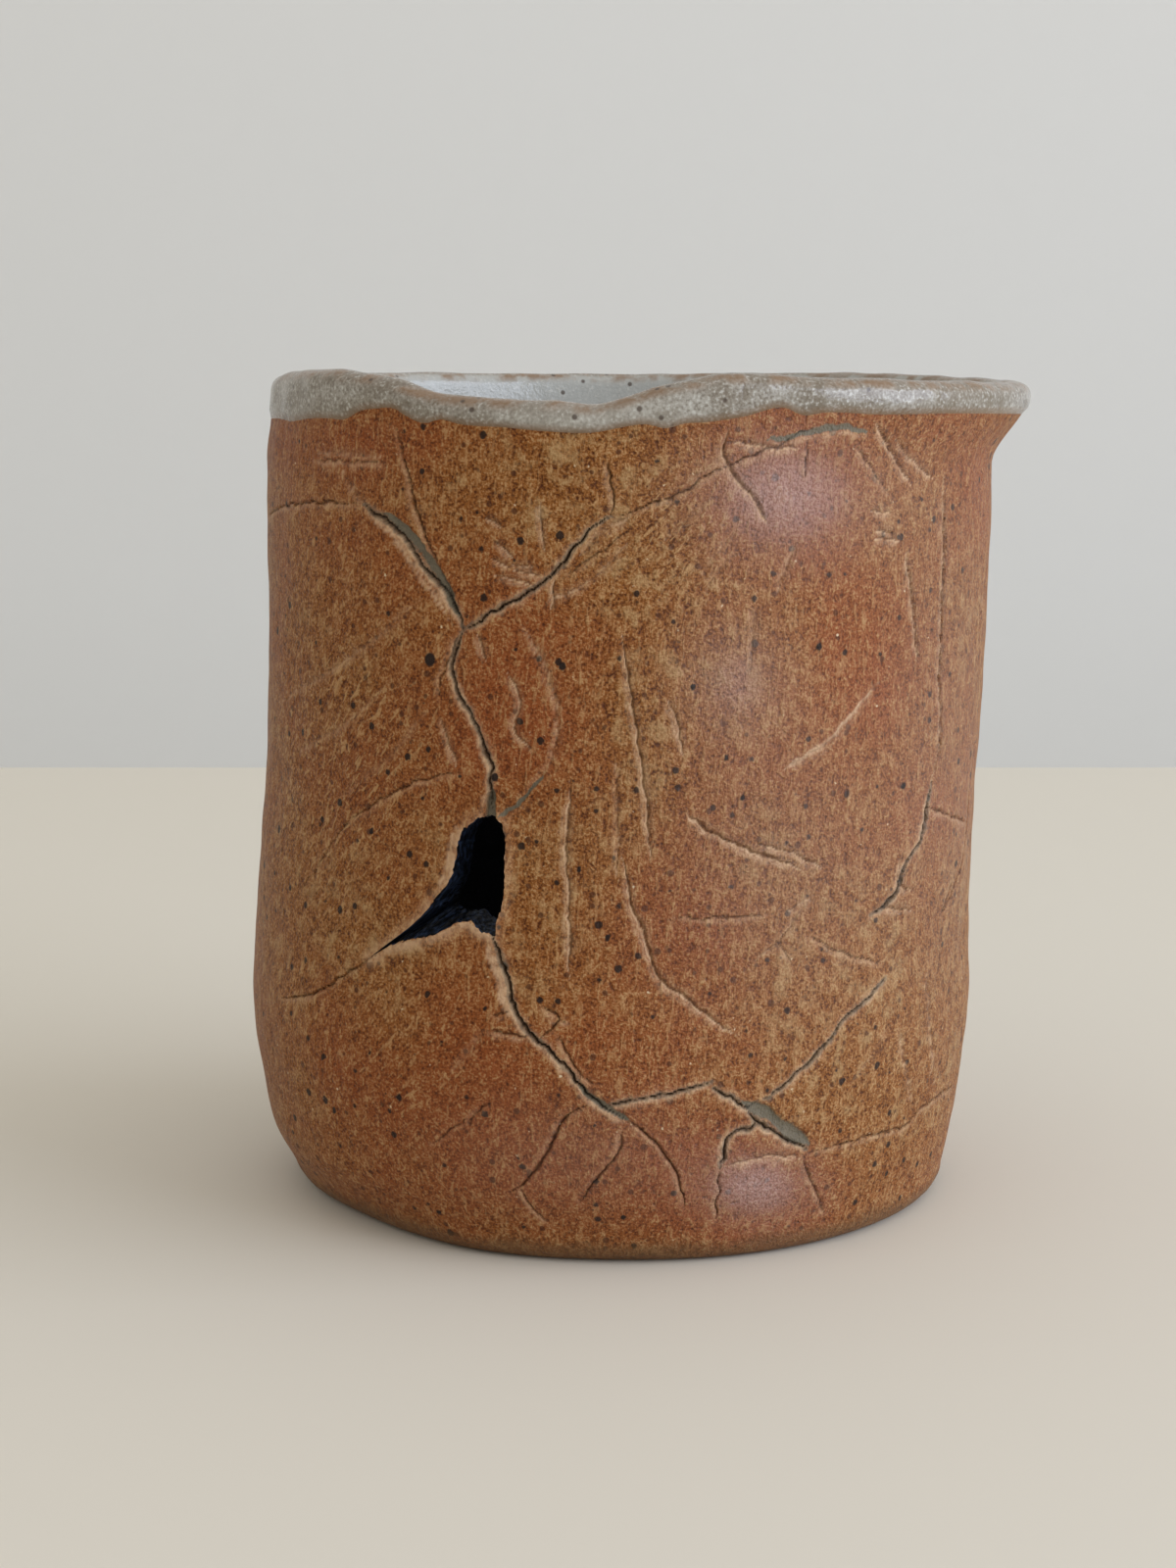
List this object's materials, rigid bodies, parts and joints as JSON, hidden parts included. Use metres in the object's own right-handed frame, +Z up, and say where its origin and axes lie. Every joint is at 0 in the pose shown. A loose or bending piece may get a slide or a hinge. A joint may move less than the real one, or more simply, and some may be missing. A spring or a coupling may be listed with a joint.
{
  "type": "cracked stoneware mug",
  "caption": "Handleless hand-formed stoneware mug with a wavy glazed lip, a cracked outside skin and a tear right through its wall; it stands on a flat foot.",
  "frame": {"origin": "middle of the flat foot, on the surface that the mug stands on", "axes": "+Z up out of the mug's mouth, -Y out of the front with the tear and most of the cracks, +X to the right of someone who looks at that front"},
  "size_m": [0.0943, 0.0886, 0.0994],
  "materials": {
    "salt_glazed_stoneware": "toasted orange-brown stoneware with a thin mottled salt glaze, a grey-white glazed lip and a black glazed inside"
  },
  "bodies": {
    "root": {"mug": "salt_glazed_stoneware"}
  },
  "joints": []
}
